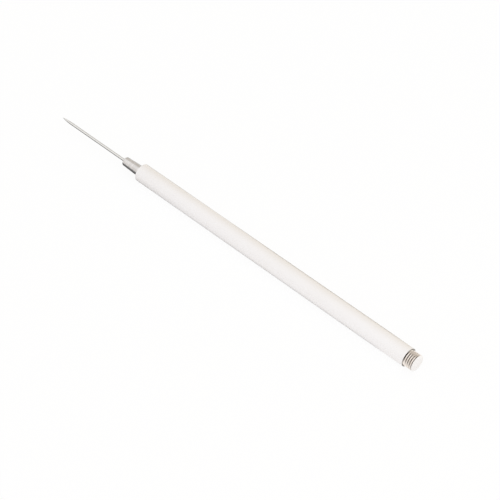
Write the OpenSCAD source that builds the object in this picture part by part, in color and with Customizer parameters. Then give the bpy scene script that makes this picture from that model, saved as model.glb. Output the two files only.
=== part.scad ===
// Clutch needle tool for pottery.
// The tool lies on its side along X, with the needle towards -X and the push button towards +X.
// The origin is under the middle of the tool, on the surface that it lies on.
// Stations are measured along the axis from the front face of the barrel, towards the button.

/* [Barrel] */
// Outer diameter of the white tube
barrel_d = 7; // [6.6:0.1:10]
// Length of the white tube
barrel_l = 128.8; // [90:0.1:160]
// Wall of the tube
barrel_wall = 0.4; // [0.3:0.05:0.5]
// Rounding of the edge around the flat front face
front_round = 0.25; // [0.1:0.05:0.4]
// Thickness of the closed front wall
front_wall = 2.6; // [1.5:0.1:4]
// Rounding of the open rear rim
rim_round = 0.12; // [0.05:0.01:0.14]

/* [Nose ferrule] */
// Length of the ferrule in front of the barrel
nose_l = 8.75; // [5:0.1:12]
// Diameter of the ferrule at its front
nose_tip_d = 3.5; // [3.4:0.05:3.9]
// Diameter of the ferrule where it meets the barrel
nose_base_d = 4.15; // [3.9:0.05:4.5]
// Rounding of the ferrule's front edge
nose_round = 0.25; // [0.1:0.05:0.3]
// Diameter of the threaded shank inside the barrel
shank_d = 3.6; // [3.5:0.05:3.8]
// Length of the shank
shank_l = 8.5; // [6:0.1:12]
// Diameter of the cone seat at its mouth
seat_d = 2.6; // [2.5:0.05:2.7]
// Length of the cone seat
seat_l = 2.5; // [2:0.1:4]

/* [Collet] */
// Diameter of the collet's stem
stem_d = 2; // [1.8:0.05:2.1]
// Length of the jaws in front of the ferrule
jaw_lip = 0.35; // [0.2:0.05:0.8]
// Rounding of the jaws' front edge
jaw_round = 0.3; // [0.1:0.05:0.4]
// Number of jaws
jaw_count = 3; // [2:1:4]
// Width of the slits between the jaws
slit_w = 0.3; // [0.2:0.05:0.4]
// Length of the slits
slit_l = 11; // [6:0.5:12]
// Length of the stem that is held in the push tube
stem_grip_l = 5; // [3:0.5:8]

/* [Needle] */
// Diameter of the needle wire
needle_d = 1; // [0.8:0.05:1.2]
// Length of the needle in front of the ferrule
needle_out = 35.05; // [20:0.1:45]
// Length of the ground point
point_l = 5; // [3:0.1:10]
// Radius of the very tip
tip_r = 0.06; // [0.03:0.01:0.15]
// How far the point hides behind the ferrule's front when drawn in
tuck = 0.5; // [0.2:0.1:2]
// Diameter of the bead on the inner end
bead_d = 1.9; // [1.6:0.05:2]
// Length of the bead
bead_l = 4; // [2:0.5:8]

/* [Push tube] */
// Outer diameter of the push tube
tube_d = 3.2; // [3:0.05:3.4]
// Wall of the push tube
tube_wall = 0.5; // [0.3:0.05:0.5]
// Width of the collar that the spring pushes on
collar_w = 2.5; // [1.5:0.1:4]

/* [Return spring] */
// Diameter of the spring wire
wire_d = 0.45; // [0.3:0.05:0.5]
// Length of the spring at rest
spring_l = 17.4; // [12:0.1:25]
// Number of turns
spring_turns = 11; // [6:1:14]

/* [Button] */
// Length of the ringed sleeve behind the barrel
button_out = 3.45; // [3.2:0.05:6]
// Length of the sleeve inside the barrel
button_in = 6.5; // [4:0.5:10]
// Wall of the sleeve
button_wall = 0.5; // [0.3:0.05:0.7]
// Thickness of the web that holds the push tube
web_l = 3; // [2:0.1:3.5]
// How far the button can be pressed
press_travel = 2; // [1:0.1:2.5]
// Number of turned rings
ring_count = 5; // [3:1:5]
// Distance from ring to ring
ring_pitch = 0.83; // [0.5:0.01:0.85]
// Depth of a ring
ring_depth = 0.15; // [0.05:0.01:0.2]
// Width of a ring
ring_w = 0.3; // [0.15:0.01:0.35]

/* [End plug] */
// Thickness of the plug's head at its edge
head_l = 0.2; // [0.15:0.05:1]
// Height of the dome on the head
dome_h = 0.2; // [0.1:0.05:0.6]
// Length of the plug's stem
plug_stem_l = 4; // [2:0.5:4.5]

/* [Bushes] */
// Length of the front bush
front_bush_l = 10; // [8:0.5:14]
// Length of the rear bush
rear_bush_l = 3; // [2:0.5:6]

/* [Fits] */
// Radial gap between pieces that slide
slide_gap = 0.05; // [0.03:0.01:0.08]
// Radial gap between pieces that are pressed or screwed together
seat_gap = 0.02; // [0.01:0.005:0.03]
// Radial gap between the needle and the jaws
needle_gap = 0.03; // [0.02:0.01:0.05]
// Gap left in front of a stop
stop_gap = 0.05; // [0.02:0.01:0.1]
// Gap left in front of a loose seat
rest_gap = 0.25; // [0.1:0.05:0.4]

/* [Hidden] */
$fn = 64;

// Radii
barrel_r = barrel_d / 2;
bore_r = barrel_r - barrel_wall;
stem_r = stem_d / 2;
nose_bore_r = stem_r + slide_gap;
needle_r = needle_d / 2;
jaw_bore_r = needle_r + needle_gap;
tube_r = tube_d / 2;
tube_bore_r = tube_r - tube_wall;
button_r = bore_r - slide_gap;
button_bore_r = button_r - button_wall;
spring_r = (tube_r + bore_r) / 2;

// Stations
nose_front = -nose_l;
jaw_front = nose_front - jaw_lip;
tip = nose_front - needle_out;
bush_rear = front_wall + front_bush_l;
tube_front = shank_l + press_travel + rest_gap;
stem_rear = tube_front + stem_grip_l;
bead_front = stem_rear + rest_gap;
bead_rear = bead_front + bead_l;
collar_front = bush_rear + spring_l;
button_front = barrel_l - button_in;
button_rear = barrel_l + button_out;
stop_rear = button_front - press_travel - stop_gap;
web_rear = button_front + web_l;
plug_rear = button_rear + head_l + dome_h;
middle = (tip + plug_rear) / 2;

// Travel of the needle from full reach until its point is inside the ferrule
needle_travel = needle_out + tuck;
echo("needle travel", needle_travel, "button travel", press_travel);

// The spring wire is a tube of six sides, with eight rings to a turn
ring_sides = 6;
turn_rings = 8;

function unit(v) = v / norm(v);

// Points that round the corner b between a and c
function rounded(a, b, c, r, n = 6) =
    let (
        u = unit(a - b),
        v = unit(c - b),
        half = acos(u * v) / 2,
        centre = b + unit(u + v) * r / sin(half),
        from = b + u * r / tan(half) - centre,
        to = b + v * r / tan(half) - centre
    )
    [for (i = [0 : n]) centre + r * unit(from * (n - i) + to * i)];

// Lays a shape that was turned about Z along the tool's axis
module lay() {
    translate([-middle, 0, barrel_r])
        rotate([0, 90, 0])
            children();
}

// Turns a profile of [station, radius] points about the tool's axis
module turned(profile) {
    rotate_extrude()
        polygon([for (p = profile) [p[1], p[0]]]);
}

// A plain ring from one station to another
module ring(from, to, inner_r, outer_r, edge = 0.1) {
    turned([
        [from, inner_r],
        [from, outer_r - edge],
        [from + edge, outer_r],
        [to - edge, outer_r],
        [to, outer_r - edge],
        [to, inner_r]
    ]);
}

module barrel() {
    mouth = [0, shank_d / 2 + slide_gap];
    front = [0, barrel_r];
    rear = [barrel_l, barrel_r];
    inner_rear = [barrel_l, bore_r];
    color("whitesmoke")
        lay()
            turned(concat(
                [mouth],
                rounded(mouth, front, rear, front_round),
                rounded(front, rear, inner_rear, rim_round),
                rounded(rear, inner_rear, [0, bore_r], rim_round),
                [[front_wall, bore_r]],
                [[front_wall, mouth[1]]]
            ));
}

module front_bush() {
    color("darkgoldenrod")
        lay()
            ring(front_wall, bush_rear, shank_d / 2 + seat_gap, bore_r - seat_gap);
}

module nose_ferrule() {
    front = [nose_front, nose_tip_d / 2];
    base = [0, nose_base_d / 2];
    color("silver")
        lay()
            turned(concat(
                [[nose_front, seat_d / 2]],
                rounded([nose_front, 0], front, base, nose_round),
                [base],
                [[0, shank_d / 2]],
                [[shank_l, shank_d / 2]],
                [[shank_l, nose_bore_r]],
                [[nose_front + seat_l, nose_bore_r]]
            ));
}

module rear_bush() {
    color("darkgoldenrod")
        lay()
            ring(stop_rear - rear_bush_l, stop_rear, tube_r + slide_gap, bore_r - seat_gap);
}

// The cone head follows the seat in the ferrule at a sliding gap.
// Each slit is cut from inside the needle bore outwards.
module collet_jaws() {
    head_r = seat_d / 2 - slide_gap;
    lip = [jaw_front, head_r];
    tail_r = tube_bore_r - seat_gap;
    color("goldenrod")
        lay()
            difference() {
                turned(concat(
                    [[jaw_front, jaw_bore_r]],
                    rounded([jaw_front, 0], lip, [nose_front, head_r], jaw_round),
                    [[nose_front, head_r]],
                    [[nose_front + seat_l, stem_r]],
                    [[tube_front - rest_gap, stem_r]],
                    [[tube_front, tail_r]],
                    [[stem_rear, tail_r]],
                    [[stem_rear, jaw_bore_r]]
                ));
                for (i = [0 : jaw_count - 1])
                    rotate([0, 0, (i + 0.5) * 360 / jaw_count])
                        translate([jaw_bore_r / 2, -slit_w / 2, jaw_front - 1])
                            cube([barrel_r, slit_w, slit_l + 1]);
            }
}

module push_tube() {
    color("goldenrod")
        lay()
            ring(tube_front, web_rear, tube_bore_r, tube_r);
}

module spring_collar() {
    color("goldenrod")
        lay()
            ring(collar_front, collar_front + collar_w, tube_r + seat_gap, bore_r - 3 * slide_gap);
}

// Centre of the spring wire, as a share t of its length
function wire_centre(t) =
    let (
        a = 360 * spring_turns * t,
        run = spring_l - wire_d - 2 * stop_gap
    )
    [spring_r * cos(a), spring_r * sin(a), bush_rear + stop_gap + wire_d / 2 + run * t];

// A ring of points around the wire, square to its way
function wire_ring(t) =
    let (
        a = 360 * spring_turns * t,
        way = unit(wire_centre(t + 0.001) - wire_centre(t - 0.001)),
        out = [cos(a), sin(a), 0],
        side = cross(way, out)
    )
    [for (k = [0 : ring_sides - 1])
        let (b = 360 * k / ring_sides)
        wire_centre(t) + wire_d / 2 * (cos(b) * out + sin(b) * side)];

module return_spring() {
    last = spring_turns * turn_rings;
    points = [for (i = [0 : last]) each wire_ring(i / last)];
    sides = [for (i = [0 : last - 1], k = [0 : ring_sides - 1])
        let (
            a = i * ring_sides + k,
            b = i * ring_sides + (k + 1) % ring_sides
        )
        each [[a, a + ring_sides, b], [b, a + ring_sides, b + ring_sides]]];
    first_cap = [for (k = [1 : ring_sides - 2]) [0, k, k + 1]];
    last_cap = [for (k = [1 : ring_sides - 2])
        [last * ring_sides, last * ring_sides + k + 1, last * ring_sides + k]];
    gaps = [for (i = [0 : last - turn_rings])
        norm(wire_centre((i + turn_rings) / last) - wire_centre(i / last)) - wire_d];
    echo("least gap between turns", min(gaps));
    color("gray")
        lay()
            polyhedron(points, concat(sides, first_cap, last_cap));
}

// The last turned ring is the joint between the sleeve and the plug
module button_sleeve() {
    half = ring_w / 2;
    floor_r = button_r - ring_depth;
    cut = [for (i = [ring_count - 1 : -1 : 1])
        let (s = button_rear - i * ring_pitch)
        each [[s - half, button_r], [s, floor_r], [s + half, button_r]]];
    color("lightgray")
        lay()
            turned(concat(
                [[button_front, tube_r + seat_gap]],
                [[button_front, button_r - 2 * ring_depth]],
                [[button_front + 2 * ring_depth, button_r]],
                cut,
                [[button_rear - half, button_r]],
                [[button_rear, floor_r]],
                [[button_rear, button_bore_r]],
                [[web_rear, button_bore_r]],
                [[web_rear, tube_r + seat_gap]]
            ));
}

module end_plug() {
    stem_end = button_rear - plug_stem_l;
    plug_r = button_bore_r - seat_gap;
    edge = button_rear + head_l;
    dome_r = (button_r * button_r + dome_h * dome_h) / (2 * dome_h);
    dome = [for (i = [1 : 10])
        let (r = button_r * (1 - i / 10))
        [plug_rear - dome_r + sqrt(dome_r * dome_r - r * r), r]];
    color("ivory")
        lay()
            turned(concat(
                [[stem_end, 0]],
                [[stem_end, plug_r]],
                [[button_rear, plug_r]],
                [[button_rear, button_r - ring_depth]],
                [[button_rear + ring_w / 2, button_r]],
                [[edge, button_r]],
                dome
            ));
}

// The point is ground in two passes, steeper near the tip
module needle() {
    color("gainsboro")
        lay()
            turned(concat(
                [[tip, 0]],
                [[tip + tip_r / 2, tip_r]],
                [[tip + point_l * 0.55, needle_r * 0.7]],
                [[tip + point_l, needle_r]],
                [[bead_rear, needle_r]],
                [[bead_rear, 0]]
            ));
}

module needle_stop() {
    color("darkgray")
        lay()
            ring(bead_front, bead_rear, needle_r + seat_gap, bead_d / 2, 0.2);
}

barrel();
front_bush();
nose_ferrule();
rear_bush();
return_spring();
collet_jaws();
push_tube();
spring_collar();
button_sleeve();
end_plug();
needle();
needle_stop();
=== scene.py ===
import math

import bpy
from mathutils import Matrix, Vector


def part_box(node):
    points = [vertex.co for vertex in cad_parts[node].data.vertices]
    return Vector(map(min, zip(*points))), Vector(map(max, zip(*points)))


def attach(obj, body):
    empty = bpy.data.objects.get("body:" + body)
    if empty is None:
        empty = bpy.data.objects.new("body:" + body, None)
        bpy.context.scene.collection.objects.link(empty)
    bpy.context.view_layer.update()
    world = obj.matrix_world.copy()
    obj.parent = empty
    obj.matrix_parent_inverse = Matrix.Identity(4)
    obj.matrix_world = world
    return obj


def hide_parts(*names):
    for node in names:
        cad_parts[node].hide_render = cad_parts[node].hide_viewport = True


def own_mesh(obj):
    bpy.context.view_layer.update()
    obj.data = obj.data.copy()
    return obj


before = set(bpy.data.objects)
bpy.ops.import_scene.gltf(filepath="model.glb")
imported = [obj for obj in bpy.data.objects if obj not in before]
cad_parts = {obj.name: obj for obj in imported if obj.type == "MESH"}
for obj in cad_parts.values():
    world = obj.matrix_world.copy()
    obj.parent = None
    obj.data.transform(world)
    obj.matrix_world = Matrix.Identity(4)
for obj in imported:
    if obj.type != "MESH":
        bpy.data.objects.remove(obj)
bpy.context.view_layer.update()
mm = 0.001
weld = 0.001 * mm  # points closer than this become one
margin = 0.01 * mm  # keeps a face that ends on a limit on the right side of it

# The tool lies along X with its needle towards -X, and all its pieces share one axis


def spanOf(node):
    # A node's front and rear along X, and its radius
    low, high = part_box(node)
    return low.x, high.x, (high.y - low.y) / 2


barrelFront, barrelRear, barrelRadius = spanOf("barrel")
noseFront, shankRear = spanOf("nose_ferrule")[:2]
jawFront, jawRear = spanOf("collet_jaws")[:2]
needleTip, needleRear, needleRadius = spanOf("needle")
buttonFront, buttonRear, buttonRadius = spanOf("button_sleeve")
plugFront, plugRear = spanOf("end_plug")[:2]
springFront, springRear, springRadius = spanOf("return_spring")
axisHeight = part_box("barrel")[1].z / 2


camera = {
    "azimuth": 44.4,  # degrees, 0 looks along +Y
    "elevation": 45.2,
    "distance": 612.5,  # mm, from the aim point
    "lens": 125.8,  # mm
    "sensor": 36.0,  # mm
    "aimBehindTip": 100.1,  # mm along the axis
    "aimRight": -0.605,  # mm across the picture
    "aimUp": -0.455,
    "near": 0.01,  # m, nothing closer or farther is drawn
    "far": 20,
}


def directionTo(azimuth, elevation):
    az = math.radians(azimuth)
    el = math.radians(elevation)
    return Vector((math.sin(az) * math.cos(el), -math.cos(az) * math.cos(el), math.sin(el)))


def addCamera(plan):
    back = directionTo(plan["azimuth"], plan["elevation"])
    right = Vector((0, 0, 1)).cross(back).normalized()
    aim = Vector((needleTip + plan["aimBehindTip"] * mm, 0, axisHeight))
    aim += right * plan["aimRight"] * mm + back.cross(right) * plan["aimUp"] * mm
    bpy.ops.object.camera_add(location=aim + back * plan["distance"] * mm)
    cam = bpy.context.object
    cam.name = "toolCamera"
    cam.rotation_mode = "QUATERNION"
    cam.rotation_quaternion = back.to_track_quat("Z", "Y")
    cam.data.lens = plan["lens"]
    cam.data.sensor_width = plan["sensor"]
    cam.data.clip_start = plan["near"]
    cam.data.clip_end = plan["far"]
    bpy.context.scene.camera = cam


addCamera(camera)
print("camera placed")


# Material helpers: one turns a hex colour linear, one adds a node with its settings and links


def linear(hexColour):
    parts = [int(hexColour[i:i + 2], 16) / 255 for i in (1, 3, 5)]
    return tuple(p / 12.92 if p <= 0.04045 else ((p + 0.055) / 1.055) ** 2.4 for p in parts) + (1,)


def addNode(tree, kind, values=None, links=None, **settings):
    node = tree.nodes.new(kind)
    for key, value in settings.items():
        setattr(node, key, value)
    for socket, value in (values or {}).items():
        node.inputs[socket].default_value = value
    for socket, source in (links or {}).items():
        tree.links.new(source, node.inputs[socket])
    return node


def newMaterial(name):
    material = bpy.data.materials.new(name)
    material.use_nodes = True
    tree = material.node_tree
    tree.nodes.clear()
    return material, tree


def finishMaterial(tree, shader):
    addNode(tree, "ShaderNodeOutputMaterial", links={"Surface": shader.outputs[0]})


enamel = {
    "colour": "#F4F2F3",
    "thin": "#F1EEED",  # where the coat is a little thinner
    "roughness": 0.22,
    "glossSpread": 0.04,  # how far the roughness strays from patch to patch
    "cloud": 14.0,  # mm, size of the uneven patches
    "peel": 0.9,  # mm, size of the orange peel
    "peelDepth": 0.004,  # mm
    "peelShare": 0.25,  # how much of that depth is seen
    "ior": 1.52,
}


def makeEnamel(plan):
    # White stoving enamel sprayed on a thin tube: an even soft gloss with a trace of orange peel
    material, tree = newMaterial("stovedWhiteEnamel")
    place = addNode(tree, "ShaderNodeTexCoord")
    cloud = addNode(
        tree,
        "ShaderNodeTexNoise",
        values={"Scale": 1 / (plan["cloud"] * mm), "Detail": 2.0},
        links={"Vector": place.outputs["Object"]},
    )
    tint = addNode(
        tree,
        "ShaderNodeMix",
        data_type="RGBA",
        values={6: linear(plan["colour"]), 7: linear(plan["thin"])},
        links={0: cloud.outputs["Fac"]},
    )
    peel = addNode(
        tree,
        "ShaderNodeTexNoise",
        values={"Scale": 1 / (plan["peel"] * mm), "Detail": 1.0},
        links={"Vector": place.outputs["Object"]},
    )
    bump = addNode(
        tree,
        "ShaderNodeBump",
        values={"Strength": plan["peelShare"], "Distance": plan["peelDepth"] * mm},
        links={"Height": peel.outputs["Fac"]},
    )
    spread = plan["glossSpread"]
    gloss = addNode(
        tree,
        "ShaderNodeMapRange",
        values={"To Min": plan["roughness"] - spread, "To Max": plan["roughness"] + spread},
        links={"Value": cloud.outputs["Fac"]},
    )
    shader = addNode(
        tree,
        "ShaderNodeBsdfPrincipled",
        values={"IOR": plan["ior"]},
        links={
            "Base Color": tint.outputs[2],
            "Roughness": gloss.outputs[0],
            "Normal": bump.outputs[0],
        },
    )
    finishMaterial(tree, shader)
    return material


# For each metal: its two tones, its roughness, and the size and depth of its rings in mm
metals = {
    # Drawn aluminium tube, bare where it was cut off and in the bore: dull grey with saw and tool lines
    "cutAluminium": {
        "light": "#BBB8B2",
        "dark": "#98958F",
        "roughness": 0.42,
        "pitch": 0.12,
        "depth": 0.004,
    },
    # Turned brass with satin nickel plate: pale grey, and the tool's rings show through the plate
    "satinNickelPlate": {
        "light": "#F0EDEB",
        "dark": "#DBD8D6",
        "roughness": 0.2,
        "pitch": 0.5,
        "depth": 0.004,
    },
    # The same plate on the button, painted brighter and warmer to stand in for more light and a warm
    # reflection there
    "buttonLitNickelPlate": {
        "light": "#FDF4EC",
        "dark": "#F5EAE0",
        "roughness": 0.22,
        "pitch": 0.3,
        "depth": 0.002,
    },
    # Painted shade at the bottom of the button's rings: the plate is made dull brown grey where the
    # recess lies in shade
    "grooveShadeNickelPlate": {
        "light": "#857B72",
        "dark": "#5C554F",
        "roughness": 0.5,
        "pitch": 0.2,
        "depth": 0.002,
    },
    # Ground and hardened steel wire: bright grey, with fine rings left by the wheel
    "groundSteel": {
        "light": "#F5F4F2",
        "dark": "#E6E5E2",
        "roughness": 0.16,
        "pitch": 0.4,
        "depth": 0.002,
    },
    # Bare turned brass: yellow, with rings from the tool
    "turnedBrass": {
        "light": "#D9B767",
        "dark": "#B8934A",
        "roughness": 0.28,
        "pitch": 0.3,
        "depth": 0.003,
    },
    # Drawn spring wire: darker steel with a dull skin
    "drawnSpringSteel": {
        "light": "#B4B3B1",
        "dark": "#918F8C",
        "roughness": 0.36,
        "pitch": 0.3,
        "depth": 0.002,
    },
}


turning = {
    "stretch": 0.02,  # size of the pattern along the axis as a share of its size around it
    "detail": 3.0,
    "fineShare": 0.6,
    "cut": (0.35, 0.65),  # what the noise is spread out from
    "duller": 0.06,  # how much rougher a dark ring is, and how much smoother a light one
    "brighter": 0.04,
    "depthShare": 0.5,  # how much of a ring's depth is seen
}


def makeMetal(name, plan):
    # The noise is squeezed along the axis, so that it makes rings; real ones lie closer than can be seen
    material, tree = newMaterial(name)
    place = addNode(tree, "ShaderNodeTexCoord")
    along = 1 / (plan["pitch"] * mm)
    rings = addNode(
        tree,
        "ShaderNodeMapping",
        values={"Scale": (along, along * turning["stretch"], along * turning["stretch"])},
        links={"Vector": place.outputs["Object"]},
    )
    line = addNode(
        tree,
        "ShaderNodeTexNoise",
        values={"Scale": 1.0, "Detail": turning["detail"], "Roughness": turning["fineShare"]},
        links={"Vector": rings.outputs[0]},
    )
    spread = addNode(
        tree,
        "ShaderNodeMapRange",
        values={"From Min": turning["cut"][0], "From Max": turning["cut"][1]},
        links={"Value": line.outputs["Fac"]},
    )
    tint = addNode(
        tree,
        "ShaderNodeMix",
        data_type="RGBA",
        values={6: linear(plan["dark"]), 7: linear(plan["light"])},
        links={0: spread.outputs[0]},
    )
    dull = plan["roughness"] + turning["duller"]
    bright = plan["roughness"] - turning["brighter"]
    gloss = addNode(
        tree,
        "ShaderNodeMapRange",
        values={"To Min": dull, "To Max": bright},
        links={"Value": spread.outputs[0]},
    )
    bump = addNode(
        tree,
        "ShaderNodeBump",
        values={"Strength": turning["depthShare"], "Distance": plan["depth"] * mm},
        links={"Height": line.outputs["Fac"]},
    )
    shader = addNode(
        tree,
        "ShaderNodeBsdfPrincipled",
        values={"Metallic": 1.0},
        links={
            "Base Color": tint.outputs[2],
            "Roughness": gloss.outputs[0],
            "Normal": bump.outputs[0],
        },
    )
    finishMaterial(tree, shader)
    return material


plastic = {
    "colour": "#F9F8F9",
    "shade": "#F4F3F4",
    "roughness": 0.38,
    "grain": 0.35,  # mm, coarser than the real spark texture so that it shows
    "grainDepth": 0.003,  # mm
    "grainShare": 0.3,  # how much of that depth is seen
    "ior": 1.53,
}


def makePlastic(plan):
    # Injection moulded ABS: plain white, duller than the enamel, with a fine moulded grain
    material, tree = newMaterial("mouldedWhiteAbs")
    place = addNode(tree, "ShaderNodeTexCoord")
    grain = addNode(
        tree,
        "ShaderNodeTexNoise",
        values={"Scale": 1 / (plan["grain"] * mm), "Detail": 3.0},
        links={"Vector": place.outputs["Object"]},
    )
    tint = addNode(
        tree,
        "ShaderNodeMix",
        data_type="RGBA",
        values={6: linear(plan["colour"]), 7: linear(plan["shade"])},
        links={0: grain.outputs["Fac"]},
    )
    bump = addNode(
        tree,
        "ShaderNodeBump",
        values={"Strength": plan["grainShare"], "Distance": plan["grainDepth"] * mm},
        links={"Height": grain.outputs["Fac"]},
    )
    shader = addNode(
        tree,
        "ShaderNodeBsdfPrincipled",
        values={"IOR": plan["ior"], "Roughness": plan["roughness"]},
        links={"Base Color": tint.outputs[2], "Normal": bump.outputs[0]},
    )
    finishMaterial(tree, shader)
    return material


whiteEnamel = makeEnamel(enamel)
whiteAbs = makePlastic(plastic)
metal = {name: makeMetal(name, plan) for name, plan in metals.items()}
print("materials made")


# Turning: an outline of (x, radius) points is drawn by extruding one vertex, then spun about the axis


def turnOnLathe(name, outline, closed=True, steps=128):
    bpy.ops.object.select_all(action="DESELECT")
    bpy.ops.mesh.primitive_plane_add(size=mm, location=(0, 0, 0))
    piece = bpy.context.object
    piece.name = name
    bpy.ops.object.mode_set(mode="EDIT")
    bpy.ops.mesh.select_all(action="SELECT")
    bpy.ops.mesh.merge(type="CENTER")
    lastX, lastR = outline[0]
    bpy.ops.transform.translate(value=(lastX, 0, axisHeight + lastR))
    for x, r in outline[1:] + (outline[:1] if closed else []):
        bpy.ops.mesh.extrude_vertices_move(TRANSFORM_OT_translate={"value": (x - lastX, 0, r - lastR)})
        lastX, lastR = x, r
    bpy.ops.mesh.select_all(action="SELECT")
    bpy.ops.mesh.spin(steps=steps, angle=math.tau, center=(0, 0, axisHeight), axis=(1, 0, 0))
    bpy.ops.mesh.select_all(action="SELECT")
    bpy.ops.mesh.remove_doubles(threshold=weld)
    bpy.ops.mesh.normals_make_consistent(inside=False)
    bpy.ops.object.mode_set(mode="OBJECT")
    return piece


def roundCorner(before, corner, after, radius, steps=5):
    # Points of an arc that touches both legs of a corner
    c = Vector(corner)
    u = (Vector(before) - c).normalized()
    v = (Vector(after) - c).normalized()
    half = u.angle(v) / 2
    centre = c + (u + v).normalized() * radius / math.sin(half)
    start = c + u * radius / math.tan(half) - centre
    end = c + v * radius / math.tan(half) - centre
    points = []
    for i in range(steps + 1):
        spoke = start.slerp(end, i / steps)
        points.append(tuple(centre + spoke.normalized() * radius))
    return points


# Share of a groove's width from its middle, and share of its depth
cutOutline = ((-0.5, 0), (-0.47, 0.04), (-0.04, 0.96), (0, 1), (0.04, 0.96), (0.47, 0.04), (0.5, 0))


def groove(middle, surface, width, depth, lean=0.0):
    # A cut by a pointed tool, with lips that are a little worn; lean moves its floor towards the tail
    points = []
    for share, dip in cutOutline:
        shift = lean * dip
        points.append((middle + width * (share + shift), surface(middle) - depth * dip))
    return points


finishing = {
    "segments": 3,
    "sharpAbove": 30,  # degrees, an edge that turns more gets rounded
    "smoothBelow": 35,  # degrees, an edge that turns less is shaded smooth
}


def activate(piece):
    bpy.ops.object.select_all(action="DESELECT")
    piece.select_set(True)
    bpy.context.view_layer.objects.active = piece


def softenEdges(piece, width):
    activate(piece)
    edge = piece.modifiers.new("softEdges", "BEVEL")
    edge.width = width * mm
    edge.segments = finishing["segments"]
    edge.limit_method = "ANGLE"
    edge.angle_limit = math.radians(finishing["sharpAbove"])
    bpy.ops.object.modifier_apply(modifier=edge.name)


def settle(piece, node, body, slotName, *materials):
    activate(piece)
    bpy.ops.object.shade_smooth_by_angle(angle=math.radians(finishing["smoothBelow"]))
    for material in materials:
        piece.data.materials.append(material)
    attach(piece, body)
    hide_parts(node)


def paintFaces(piece, index, test):
    for face in piece.data.polygons:
        radius = math.hypot(face.center.y, face.center.z - axisHeight)
        if test(face.center.x, radius):
            face.material_index = index


# Sizes of the pieces are in mm
tube = {
    "wall": 0.4,
    "frontWall": 2.6,
    "mouth": 1.85,  # radius of the hole for the shank
    "frontRound": 0.25,
    "rearRound": 0.12,
    "coat": 0.05,  # how far the white coat reaches round the rear edge
}


def makeBarrel(plan):
    bore = barrelRadius - plan["wall"] * mm
    mouth = (barrelFront, plan["mouth"] * mm)
    front = (barrelFront, barrelRadius)
    rear = (barrelRear, barrelRadius)
    innerRear = (barrelRear, bore)
    wallRear = barrelFront + plan["frontWall"] * mm
    outline = [mouth]
    outline += roundCorner(mouth, front, rear, plan["frontRound"] * mm)
    outline += roundCorner(front, rear, innerRear, plan["rearRound"] * mm, steps=4)
    outline += roundCorner(rear, innerRear, (wallRear, bore), plan["rearRound"] * mm, steps=4)
    outline += [(wallRear, bore), (wallRear, mouth[1])]
    piece = turnOnLathe("barrelTube", outline)
    settle(piece, "barrel", "handle", "white_enamel", whiteEnamel, metal["cutAluminium"])
    # The coat ends at the cut: the rear rim and the bore are bare metal
    rimFront = barrelRear - plan["rearRound"] * mm
    coated = barrelRadius - plan["coat"] * mm
    paintFaces(piece, 1, lambda x, r: x > rimFront and r < coated)
    paintFaces(piece, 1, lambda x, r: x > wallRear - margin and r < bore + margin)


makeBarrel(tube)
print("barrel made")


nose = {
    "tip": 1.75,  # radius at the front
    "base": 2.075,  # radius at the barrel
    "frontRound": 0.25,
    "seatMouth": 1.3,
    "seatLength": 2.5,
    "shank": 1.8,
    "bore": 1.05,
    "ringPitch": 0.55,  # coarser than the tool's real marks so that it shows
    "firstRing": 1.3,  # pitches from the front
    "ringMargin": 1.2,  # pitches taken off the length before the rings are counted
    "ringWidth": 0.16,
    "ringDepth": 0.025,
}


def makeNose(plan):
    front = (noseFront, plan["tip"] * mm)
    base = (barrelFront, plan["base"] * mm)

    def surface(x):
        share = (x - noseFront) / (barrelFront - noseFront)
        return front[1] + (base[1] - front[1]) * share

    outline = [(noseFront, plan["seatMouth"] * mm)]
    outline += roundCorner((noseFront, 0), front, base, plan["frontRound"] * mm)
    pitch = plan["ringPitch"] * mm
    count = int((barrelFront - noseFront - plan["ringMargin"] * pitch) / pitch)
    for i in range(count):
        middle = noseFront + pitch * (i + plan["firstRing"])
        outline += groove(middle, surface, plan["ringWidth"] * mm, plan["ringDepth"] * mm)
    outline += [
        base,
        (barrelFront, plan["shank"] * mm),
        (shankRear, plan["shank"] * mm),
        (shankRear, plan["bore"] * mm),
        (noseFront + plan["seatLength"] * mm, plan["bore"] * mm),
    ]
    piece = turnOnLathe("noseFerrule", outline)
    settle(piece, "nose_ferrule", "handle", "nickel", metal["satinNickelPlate"])


makeNose(nose)
print("nose ferrule made")


button = {
    "wall": 0.5,
    "hole": 1.62,  # radius of the hole for the push tube
    "web": 3.0,
    "rings": 5,  # the last is the joint with the plug
    "pitch": 0.83,
    "width": 0.48,
    "depth": 0.25,
    "lean": 0.15,  # share of the width by which a ring's floor lies off its middle
    "frontChamfer": 0.3,
    "shadeDepths": (0.7, 1.1),  # shares of the depth between which a face gets the painted shade
}


def makeButton(plan):
    inner = buttonRadius - plan["wall"] * mm
    hole = plan["hole"] * mm
    chamfer = plan["frontChamfer"] * mm
    depth = plan["depth"] * mm
    width = plan["width"] * mm
    outline = [
        (buttonFront, hole),
        (buttonFront, buttonRadius - chamfer),
        (buttonFront + chamfer, buttonRadius),
    ]
    for i in range(plan["rings"] - 1, 0, -1):
        middle = buttonRear - i * plan["pitch"] * mm
        outline += groove(middle, lambda x: buttonRadius, width, depth, plan["lean"])
    outline += groove(buttonRear, lambda x: buttonRadius, width, depth)[:4]
    outline += [
        (buttonRear, inner),
        (buttonFront + plan["web"] * mm, inner),
        (buttonFront + plan["web"] * mm, hole),
    ]
    piece = turnOnLathe("pushButton", outline)
    finishes = (metal["buttonLitNickelPlate"], metal["grooveShadeNickelPlate"])
    settle(piece, "button_sleeve", "clutch", "button_nickel", *finishes)
    high, deep = [buttonRadius - share * depth for share in plan["shadeDepths"]]
    # The floors of the rings get the painted shade
    paintFaces(piece, 1, lambda x, r: x > buttonFront + chamfer and high > r > deep)


makeButton(button)
print("button made")


plug = {
    "stemRadius": 2.53,
    "lip": 0.15,  # length of the slope from the joint up to the head
    "dome": 0.2,
    "domeSteps": 10,
    "edgeRound": 0.06,
}


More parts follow.
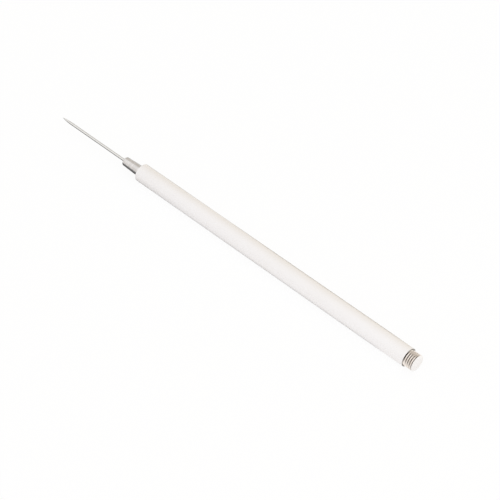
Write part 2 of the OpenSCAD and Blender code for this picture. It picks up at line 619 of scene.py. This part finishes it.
def makePlug(plan):
    floor = buttonRadius - button["depth"] * mm
    dome = plan["dome"] * mm
    edge = plugRear - dome
    sphere = (buttonRadius ** 2 + dome ** 2) / (2 * dome)
    outline = [
        (plugFront, 0),
        (plugFront, plan["stemRadius"] * mm),
        (buttonRear, plan["stemRadius"] * mm),
        (buttonRear, floor),
        (buttonRear + plan["lip"] * mm, buttonRadius),
        (edge, buttonRadius),
    ]
    for i in range(1, plan["domeSteps"] + 1):
        r = buttonRadius * (1 - i / plan["domeSteps"])
        outline.append((plugRear - sphere + math.sqrt(sphere ** 2 - r ** 2), r))
    piece = turnOnLathe("endPlug", outline, closed=False)
    softenEdges(piece, plan["edgeRound"])
    settle(piece, "end_plug", "clutch", "white_plastic", whiteAbs)


makePlug(plug)
print("end plug made")


wire = {
    "pointLength": 5.0,
    "tipRadius": 0.06,
    "tipSteps": 4,
    "grindSteps": 12,
}


def makeNeedle(plan):
    point = plan["pointLength"] * mm
    tip = plan["tipRadius"] * mm
    outline = [(needleTip, 0)]
    for i in range(1, plan["tipSteps"] + 1):
        a = math.radians(90 * i / plan["tipSteps"])
        outline.append((needleTip + tip * (1 - math.cos(a)), tip * math.sin(a)))
    # The grind swells a little, so the point is a long curve and not a plain cone
    for i in range(1, plan["grindSteps"] + 1):
        share = i / plan["grindSteps"]
        swell = math.sin(math.radians(90 * share))
        outline.append((needleTip + tip + (point - tip) * share, tip + (needleRadius - tip) * swell))
    outline += [(needleRear, needleRadius), (needleRear, 0)]
    piece = turnOnLathe("needleWire", outline, closed=False, steps=64)
    settle(piece, "needle", "needle", "needle_steel", metal["groundSteel"])


makeNeedle(wire)
print("needle made")


jaws = {
    "bore": 0.53,
    "head": 1.25,
    "lip": 0.35,  # length in front of the ferrule
    "lipRound": 0.3,
    "cone": 2.5,
    "stem": 1.0,
    "tail": 1.08,
    "tailLength": 5.0,
    "step": 0.25,
    "count": 3,
    "slit": 0.3,
    "slitLength": 11.0,
    "sawHeight": 2.0,
    "sawRun": 1.0,  # how far the saw starts in front of the jaws
}


def makeJaws(plan):
    head = plan["head"] * mm
    lip = (jawFront, head)
    seat = jawFront + plan["lip"] * mm
    tail = jawRear - plan["tailLength"] * mm
    outline = [(jawFront, plan["bore"] * mm)]
    outline += roundCorner(outline[0], lip, (seat, head), plan["lipRound"] * mm)
    outline += [
        (seat, head),
        (seat + plan["cone"] * mm, plan["stem"] * mm),
        (tail - plan["step"] * mm, plan["stem"] * mm),
        (tail, plan["tail"] * mm),
        (jawRear, plan["tail"] * mm),
        (jawRear, plan["bore"] * mm),
    ]
    piece = turnOnLathe("colletJaws", outline, steps=96)
    # One flat cutter for each slit, from the bore outwards, as the slitting saw leaves it
    for i in range(plan["count"]):
        angle = math.tau * i / plan["count"]
        bpy.ops.object.select_all(action="DESELECT")
        bpy.ops.mesh.primitive_cube_add(size=1, location=(0, 0, 0))
        saw = bpy.context.object
        bpy.ops.object.mode_set(mode="EDIT")
        bpy.ops.mesh.select_all(action="SELECT")
        long = (plan["slitLength"] + plan["sawRun"]) * mm
        bpy.ops.transform.resize(value=(long, plan["slit"] * mm, plan["sawHeight"] * mm))
        middle = jawFront + plan["slitLength"] * mm - long / 2
        height = axisHeight + (plan["bore"] / 2 + plan["sawHeight"] / 2) * mm
        bpy.ops.transform.translate(value=(middle, 0, height))
        bpy.ops.transform.rotate(
            value=angle,
            orient_axis="X",
            orient_type="GLOBAL",
            center_override=(0, 0, axisHeight),
        )
        bpy.ops.object.mode_set(mode="OBJECT")
        activate(piece)
        cut = piece.modifiers.new("slit", "BOOLEAN")
        cut.operation = "DIFFERENCE"
        cut.object = saw
        bpy.ops.object.modifier_apply(modifier=cut.name)
        bpy.data.objects.remove(saw)
    settle(piece, "collet_jaws", "clutch", "brass", metal["turnedBrass"])


makeJaws(jaws)
print("jaws made")


spring = {
    "wire": 0.225,  # radius
    "turns": 11,
    "endGap": 0.05,  # mm between the wire and its seats
    "keep": 0.885,  # share of its length that is left when the button is pressed
    "wireSides": 16,
    "turnSteps": 32,
}


def makeSpring(plan):
    wireRadius = plan["wire"] * mm
    start = springFront + wireRadius
    run = springRear - springFront - 2 * wireRadius
    coil = springRadius - wireRadius
    bpy.ops.object.select_all(action="DESELECT")
    sides = plan["wireSides"]
    bpy.ops.mesh.primitive_circle_add(vertices=sides, radius=wireRadius, location=(0, 0, 0))
    piece = bpy.context.object
    piece.name = "returnSpring"
    bpy.ops.object.mode_set(mode="EDIT")
    bpy.ops.mesh.select_all(action="SELECT")
    bpy.ops.transform.rotate(
        value=math.pi / 2,
        orient_axis="X",
        orient_type="GLOBAL",
        center_override=(0, 0, 0),
    )
    bpy.ops.transform.translate(value=(start, 0, -coil))
    bpy.ops.object.mode_set(mode="OBJECT")
    activate(piece)
    winding = piece.modifiers.new("winding", "SCREW")
    winding.axis = "X"
    winding.angle = math.tau
    winding.screw_offset = run / plan["turns"]
    winding.iterations = plan["turns"]
    winding.steps = plan["turnSteps"]
    winding.render_steps = plan["turnSteps"]
    bpy.ops.object.modifier_apply(modifier=winding.name)
    bpy.ops.object.mode_set(mode="EDIT")
    bpy.ops.mesh.select_all(action="SELECT")
    bpy.ops.mesh.remove_doubles(threshold=weld)
    bpy.ops.mesh.fill_holes(sides=sides)
    bpy.ops.mesh.select_all(action="SELECT")
    bpy.ops.transform.translate(value=(0, 0, axisHeight))
    bpy.ops.mesh.normals_make_consistent(inside=False)
    bpy.ops.object.mode_set(mode="OBJECT")
    settle(piece, "return_spring", "handle", "spring_steel", metal["drawnSpringSteel"])
    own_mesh(piece)


makeSpring(spring)
print("spring made")


# Pieces that are out of sight keep their CAD shape and get their metal
hidden = {
    "front_bush": "turnedBrass",
    "rear_bush": "turnedBrass",
    "push_tube": "turnedBrass",
    "spring_collar": "turnedBrass",
    "needle_stop": "drawnSpringSteel",
}
for node, finish in hidden.items():
    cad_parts[node].data.materials.clear()
    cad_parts[node].data.materials.append(metal[finish])
print("hidden pieces finished")


# The studio: a pale sweep in a soft tent. Only reflections see how the tent darkens towards the ground,
# and the shade painted on the floor around the tool

studio = {
    "floorColour": "#FBFAFA",
    "floorSize": 6.0,  # m
    "floorDrop": 0.02,  # mm, so that the barrel doesn't touch it
    "whiteShare": 0.93,  # how far the camera sees the floor as plain white
    "nearShade": 0.12,  # brightness of the floor beside the tool, in reflections
    "nearReach": (4.0, 31.0),  # mm from the tool's line, where that shade starts to fade and ends
    "noseReach": (-46.0, 10.0),  # mm along the tool, where that shade starts to fade and ends
    "footShade": 0.25,  # brightness of the strip under the tool, in reflections
    "footReach": (3.5, 9.0),  # mm from the tool's line
    "backShade": 0.02,  # brightness of the floor behind the rear half, in reflections
    "backReach": (-30.0, 10.0),  # mm along the tool, where that shade starts and is full
    "tailEnd": (68.0, 76.0),  # mm along the tool, where the last two shades end
    "pastShade": 0.28,  # brightness of the floor past the tail, in reflections
    "pastReach": (85.0, 92.0),  # mm along the tool, where that shade starts and is full
    "pastSide": (3.5, 6.5),  # mm behind the tool's line, where it starts to fade and ends
    "skyLevel": 0.93,  # strength of the sky's soft light
    "topTone": "#FFFFFF",
    "topReach": (0.0, 0.8),  # height from the low tone to the top tone, as a share of straight up
    "lowTone": "#E4E0DC",
    "farTone": "#D2CEC8",  # behind the tool, in reflections
    "farReach": (-0.15, 0.55),  # shares of straight back, where that tone starts and is full
    "tailTone": "#171513",  # past the tail, in reflections
    "tailReach": (0.5, 0.62),  # the same towards the tail
    "warmSky": "#E8D8B7",  # the far side of the sky, for soft light only
    "warmReach": (0.1, 0.9),
    "boxPower": 2.4,  # W
    "boxSize": 0.8,  # m
    "boxDistance": 1.2,  # m
    "boxAzimuth": 82.0,  # degrees
    "boxElevation": 42.0,
}


def addFloor(plan):
    bpy.ops.object.select_all(action="DESELECT")
    bpy.ops.mesh.primitive_plane_add(size=plan["floorSize"], location=(0, 0, -plan["floorDrop"] * mm))
    floor = bpy.context.object
    floor.name = "paleFloor"
    material, tree = newMaterial("palePaper")
    nearStart, nearEnd = plan["nearReach"]
    place = addNode(tree, "ShaderNodeTexCoord")
    across = addNode(tree, "ShaderNodeSeparateXYZ", links={0: place.outputs["Object"]})
    # Painted shade beside the front half, fading outwards and towards the tail
    away = addNode(
        tree,
        "ShaderNodeMath",
        operation="ABSOLUTE",
        links={0: across.outputs["Y"]},
    )
    shade = addNode(
        tree,
        "ShaderNodeMapRange",
        values={"From Min": nearStart * mm, "From Max": nearEnd * mm, "To Min": plan["nearShade"]},
        links={"Value": away.outputs[0]},
    )
    along = addNode(
        tree,
        "ShaderNodeMapRange",
        values={"From Min": plan["noseReach"][0] * mm, "From Max": plan["noseReach"][1] * mm},
        links={"Value": across.outputs["X"]},
    )
    lit = addNode(
        tree,
        "ShaderNodeMath",
        operation="MAXIMUM",
        links={0: shade.outputs[0], 1: along.outputs[0]},
    )
    # Painted shade on the strip under the tool
    foot = addNode(
        tree,
        "ShaderNodeMapRange",
        values={
            "From Min": plan["footReach"][0] * mm,
            "From Max": plan["footReach"][1] * mm,
            "To Min": plan["footShade"],
        },
        links={"Value": away.outputs[0]},
    )
    # Painted shade behind the rear half
    behind = addNode(
        tree,
        "ShaderNodeMath",
        operation="GREATER_THAN",
        values={1: 0.0},
        links={0: across.outputs["Y"]},
    )
    rear = addNode(
        tree,
        "ShaderNodeMapRange",
        values={
            "From Min": plan["backReach"][0] * mm,
            "From Max": plan["backReach"][1] * mm,
            "To Max": 1 - plan["backShade"],
        },
        links={"Value": across.outputs["X"]},
    )
    lost = addNode(
        tree,
        "ShaderNodeMath",
        operation="MULTIPLY",
        links={0: behind.outputs[0], 1: rear.outputs[0]},
    )
    back = addNode(
        tree,
        "ShaderNodeMath",
        operation="SUBTRACT",
        values={0: 1.0},
        links={1: lost.outputs[0]},
    )
    # The last two end before the tail does
    strips = addNode(
        tree,
        "ShaderNodeMath",
        operation="MINIMUM",
        links={0: foot.outputs[0], 1: back.outputs[0]},
    )
    tail = addNode(
        tree,
        "ShaderNodeMapRange",
        values={"From Min": plan["tailEnd"][0] * mm, "From Max": plan["tailEnd"][1] * mm},
        links={"Value": across.outputs["X"]},
    )
    faded = addNode(
        tree,
        "ShaderNodeMath",
        operation="MAXIMUM",
        links={0: strips.outputs[0], 1: tail.outputs[0]},
    )
    beside = addNode(
        tree,
        "ShaderNodeMath",
        operation="MINIMUM",
        links={0: lit.outputs[0], 1: faded.outputs[0]},
    )
    # Painted shade past the tail, on the camera's side of the tool
    past = addNode(
        tree,
        "ShaderNodeMapRange",
        values={
            "From Min": plan["pastReach"][0] * mm,
            "From Max": plan["pastReach"][1] * mm,
            "To Min": 1.0,
            "To Max": plan["pastShade"],
        },
        links={"Value": across.outputs["X"]},
    )
    side = addNode(
        tree,
        "ShaderNodeMapRange",
        values={"From Min": plan["pastSide"][0] * mm, "From Max": plan["pastSide"][1] * mm},
        links={"Value": across.outputs["Y"]},
    )
    end = addNode(
        tree,
        "ShaderNodeMath",
        operation="MAXIMUM",
        links={0: past.outputs[0], 1: side.outputs[0]},
    )
    toned = addNode(
        tree,
        "ShaderNodeMath",
        operation="MINIMUM",
        links={0: beside.outputs[0], 1: end.outputs[0]},
    )
    # The camera sees almost plain white, reflections see the painted shades, and other light sees paper
    paper = addNode(tree, "ShaderNodeBsdfDiffuse", values={"Color": linear(plan["floorColour"])})
    white = addNode(tree, "ShaderNodeEmission", values={"Strength": 1.0})
    mirrored = addNode(tree, "ShaderNodeEmission", links={"Strength": toned.outputs[0]})
    light = addNode(tree, "ShaderNodeLightPath")
    share = addNode(
        tree,
        "ShaderNodeMath",
        operation="MULTIPLY",
        values={1: plan["whiteShare"]},
        links={0: light.outputs["Is Camera Ray"]},
    )
    seen = addNode(
        tree,
        "ShaderNodeMixShader",
        links={0: share.outputs[0], 1: paper.outputs[0], 2: white.outputs[0]},
    )
    reflected = addNode(
        tree,
        "ShaderNodeMixShader",
        links={0: light.outputs["Is Glossy Ray"], 1: seen.outputs[0], 2: mirrored.outputs[0]},
    )
    finishMaterial(tree, reflected)
    floor.data.materials.append(material)


def addSky(plan):
    world = bpy.data.worlds.new("whiteTent")
    world.use_nodes = True
    bpy.context.scene.world = world
    tree = world.node_tree
    tree.nodes.clear()
    place = addNode(tree, "ShaderNodeTexCoord")
    along = addNode(tree, "ShaderNodeSeparateXYZ", links={0: place.outputs["Generated"]})
    # What reflections see
    height = addNode(
        tree,
        "ShaderNodeMapRange",
        values={"From Min": plan["topReach"][0], "From Max": plan["topReach"][1]},
        links={"Value": along.outputs["Z"]},
    )
    tent = addNode(
        tree,
        "ShaderNodeMix",
        data_type="RGBA",
        values={6: linear(plan["lowTone"]), 7: linear(plan["topTone"])},
        links={0: height.outputs[0]},
    )
    farEnd = addNode(
        tree,
        "ShaderNodeMapRange",
        interpolation_type="SMOOTHSTEP",
        values={"From Min": plan["farReach"][0], "From Max": plan["farReach"][1]},
        links={"Value": along.outputs["Y"]},
    )
    farther = addNode(
        tree,
        "ShaderNodeMix",
        data_type="RGBA",
        values={7: linear(plan["farTone"])},
        links={0: farEnd.outputs[0], 6: tent.outputs[2]},
    )
    tailSide = addNode(
        tree,
        "ShaderNodeMapRange",
        interpolation_type="SMOOTHSTEP",
        values={"From Min": plan["tailReach"][0], "From Max": plan["tailReach"][1]},
        links={"Value": along.outputs["X"]},
    )
    mirrored = addNode(
        tree,
        "ShaderNodeMix",
        data_type="RGBA",
        values={7: linear(plan["tailTone"])},
        links={0: tailSide.outputs[0], 6: farther.outputs[2]},
    )
    # What soft light sees
    farSide = addNode(
        tree,
        "ShaderNodeMapRange",
        interpolation_type="SMOOTHSTEP",
        values={"From Min": plan["warmReach"][0], "From Max": plan["warmReach"][1]},
        links={"Value": along.outputs["Y"]},
    )
    soft = addNode(
        tree,
        "ShaderNodeMix",
        data_type="RGBA",
        values={6: linear(plan["topTone"]), 7: linear(plan["warmSky"])},
        links={0: farSide.outputs[0]},
    )
    # The camera sees the top tone
    light = addNode(tree, "ShaderNodeLightPath")
    clear = addNode(
        tree,
        "ShaderNodeMath",
        operation="MAXIMUM",
        links={0: light.outputs["Is Camera Ray"], 1: light.outputs["Is Transmission Ray"]},
    )
    shown = addNode(
        tree,
        "ShaderNodeMath",
        operation="MAXIMUM",
        links={0: clear.outputs[0], 1: light.outputs["Is Glossy Ray"]},
    )
    shaded = addNode(
        tree,
        "ShaderNodeMix",
        data_type="RGBA",
        links={0: light.outputs["Is Glossy Ray"], 6: soft.outputs[2], 7: mirrored.outputs[2]},
    )
    tone = addNode(
        tree,
        "ShaderNodeMix",
        data_type="RGBA",
        values={7: linear(plan["topTone"])},
        links={0: clear.outputs[0], 6: shaded.outputs[2]},
    )
    level = addNode(
        tree,
        "ShaderNodeMapRange",
        values={"To Min": plan["skyLevel"], "To Max": 1.0},
        links={"Value": shown.outputs[0]},
    )
    sky = addNode(
        tree,
        "ShaderNodeBackground",
        links={"Color": tone.outputs[2], "Strength": level.outputs[0]},
    )
    addNode(tree, "ShaderNodeOutputWorld", links={"Surface": sky.outputs[0]})


def addSoftBox(plan):
    back = directionTo(plan["boxAzimuth"], plan["boxElevation"])
    bpy.ops.object.light_add(type="AREA", location=back * plan["boxDistance"])
    box = bpy.context.object
    box.name = "softBox"
    box.data.shape = "SQUARE"
    box.data.size = plan["boxSize"]
    box.data.energy = plan["boxPower"]
    box.visible_glossy = False
    box.rotation_mode = "QUATERNION"
    box.rotation_quaternion = back.to_track_quat("Z", "Y")


addFloor(studio)
addSky(studio)
addSoftBox(studio)
bpy.context.scene.view_settings.view_transform = "Standard"
print("studio set")
